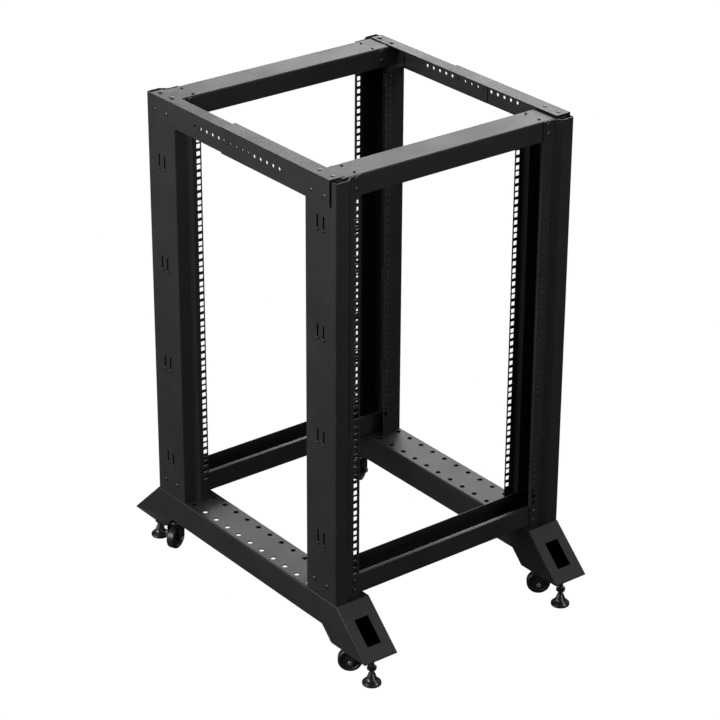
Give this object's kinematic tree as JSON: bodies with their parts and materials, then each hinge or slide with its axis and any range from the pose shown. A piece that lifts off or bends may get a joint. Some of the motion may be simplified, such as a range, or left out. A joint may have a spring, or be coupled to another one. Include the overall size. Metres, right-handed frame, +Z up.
{
  "type": "open-frame equipment rack",
  "caption": "Four-post open frame that holds 19-inch equipment on square-hole mounting strips, standing on levelling feet beside swivel casters.",
  "frame": {"origin": "on the floor under the middle of the frame", "axes": "+X to the right seen from the front, -Y towards the front, +Z up"},
  "size_m": [0.587, 0.806, 1.0552],
  "materials": {
    "post_coat": "matte black powder coat",
    "beam_coat": "matte black powder coat",
    "top_rail_coat": "matte black powder coat",
    "base_rail_coat": "matte black powder coat",
    "levelling_foot_plastic": "glossy black moulded foot",
    "foot_nut_steel": "black hexagon nut",
    "caster_stem_steel": "dark steel",
    "caster_collar_zinc": "bright zinc plate",
    "caster_fork_steel": "black painted steel",
    "caster_wheel_nylon": "black nylon",
    "caster_axle_zinc": "zinc plated steel"
  },
  "bodies": {
    "frame": {"post_front_left": "post_coat", "post_front_right": "post_coat", "post_rear_left": "post_coat", "post_rear_right": "post_coat", "left_top_rail_front_piece": "top_rail_coat", "left_top_rail_rear_piece": "top_rail_coat", "right_top_rail_front_piece": "top_rail_coat", "right_top_rail_rear_piece": "top_rail_coat", "front_top_beam": "beam_coat", "front_bottom_beam": "beam_coat", "rear_top_beam": "beam_coat", "rear_bottom_beam": "beam_coat", "left_base_rail": "base_rail_coat", "right_base_rail": "base_rail_coat", "caster_stem_front_left": "caster_stem_steel", "caster_collar_front_left": "caster_collar_zinc", "caster_stem_front_right": "caster_stem_steel", "caster_collar_front_right": "caster_collar_zinc", "caster_stem_rear_left": "caster_stem_steel", "caster_collar_rear_left": "caster_collar_zinc", "caster_stem_rear_right": "caster_stem_steel", "caster_collar_rear_right": "caster_collar_zinc"},
    "swivel_front_left": {"caster_fork_front_left": "caster_fork_steel", "caster_axle_front_left": "caster_axle_zinc"},
    "wheel_front_left": {"caster_wheel_front_left": "caster_wheel_nylon"},
    "leveller_front_left": {"levelling_foot_front_left": "levelling_foot_plastic", "foot_nut_front_left": "foot_nut_steel"},
    "swivel_front_right": {"caster_fork_front_right": "caster_fork_steel", "caster_axle_front_right": "caster_axle_zinc"},
    "wheel_front_right": {"caster_wheel_front_right": "caster_wheel_nylon"},
    "leveller_front_right": {"levelling_foot_front_right": "levelling_foot_plastic", "foot_nut_front_right": "foot_nut_steel"},
    "swivel_rear_left": {"caster_fork_rear_left": "caster_fork_steel", "caster_axle_rear_left": "caster_axle_zinc"},
    "wheel_rear_left": {"caster_wheel_rear_left": "caster_wheel_nylon"},
    "leveller_rear_left": {"levelling_foot_rear_left": "levelling_foot_plastic", "foot_nut_rear_left": "foot_nut_steel"},
    "swivel_rear_right": {"caster_fork_rear_right": "caster_fork_steel", "caster_axle_rear_right": "caster_axle_zinc"},
    "wheel_rear_right": {"caster_wheel_rear_right": "caster_wheel_nylon"},
    "leveller_rear_right": {"levelling_foot_rear_right": "levelling_foot_plastic", "foot_nut_rear_right": "foot_nut_steel"}
  },
  "joints": [
    {"name": "swivel_front_left", "type": "hinge", "parent": "frame", "child": "swivel_front_left", "pos_m": [-0.249, -0.31, 0.0583], "axis": [0, 0, 1], "continuous": true},
    {"name": "roll_front_left", "type": "hinge", "parent": "swivel_front_left", "child": "wheel_front_left", "pos_m": [-0.25215, -0.30754, 0.0255], "axis": [0.6157, 0.788, 0], "continuous": true},
    {"name": "level_front_left", "type": "slide", "parent": "frame", "child": "leveller_front_left", "axis": [0, 0, 1], "range_m": [-0.01, 0.005]},
    {"name": "swivel_front_right", "type": "hinge", "parent": "frame", "child": "swivel_front_right", "pos_m": [0.249, -0.31, 0.0583], "axis": [0, 0, 1], "continuous": true},
    {"name": "roll_front_right", "type": "hinge", "parent": "swivel_front_right", "child": "wheel_front_right", "pos_m": [0.24585, -0.30754, 0.0255], "axis": [0.6157, 0.788, 0], "continuous": true},
    {"name": "level_front_right", "type": "slide", "parent": "frame", "child": "leveller_front_right", "axis": [0, 0, 1], "range_m": [-0.01, 0.005]},
    {"name": "swivel_rear_left", "type": "hinge", "parent": "frame", "child": "swivel_rear_left", "pos_m": [-0.249, 0.31, 0.0583], "axis": [0, 0, 1], "continuous": true},
    {"name": "roll_rear_left", "type": "hinge", "parent": "swivel_rear_left", "child": "wheel_rear_left", "pos_m": [-0.25265, 0.30837, 0.0255], "axis": [-0.4067, 0.9135, 0], "continuous": true},
    {"name": "level_rear_left", "type": "slide", "parent": "frame", "child": "leveller_rear_left", "axis": [0, 0, 1], "range_m": [-0.01, 0.005]},
    {"name": "swivel_rear_right", "type": "hinge", "parent": "frame", "child": "swivel_rear_right", "pos_m": [0.249, 0.31, 0.0583], "axis": [0, 0, 1], "continuous": true},
    {"name": "roll_rear_right", "type": "hinge", "parent": "swivel_rear_right", "child": "wheel_rear_right", "pos_m": [0.25246, 0.312, 0.0255], "axis": [0.5, -0.866, 0], "continuous": true},
    {"name": "level_rear_right", "type": "slide", "parent": "frame", "child": "leveller_rear_right", "axis": [0, 0, 1], "range_m": [-0.01, 0.005]}
  ]
}
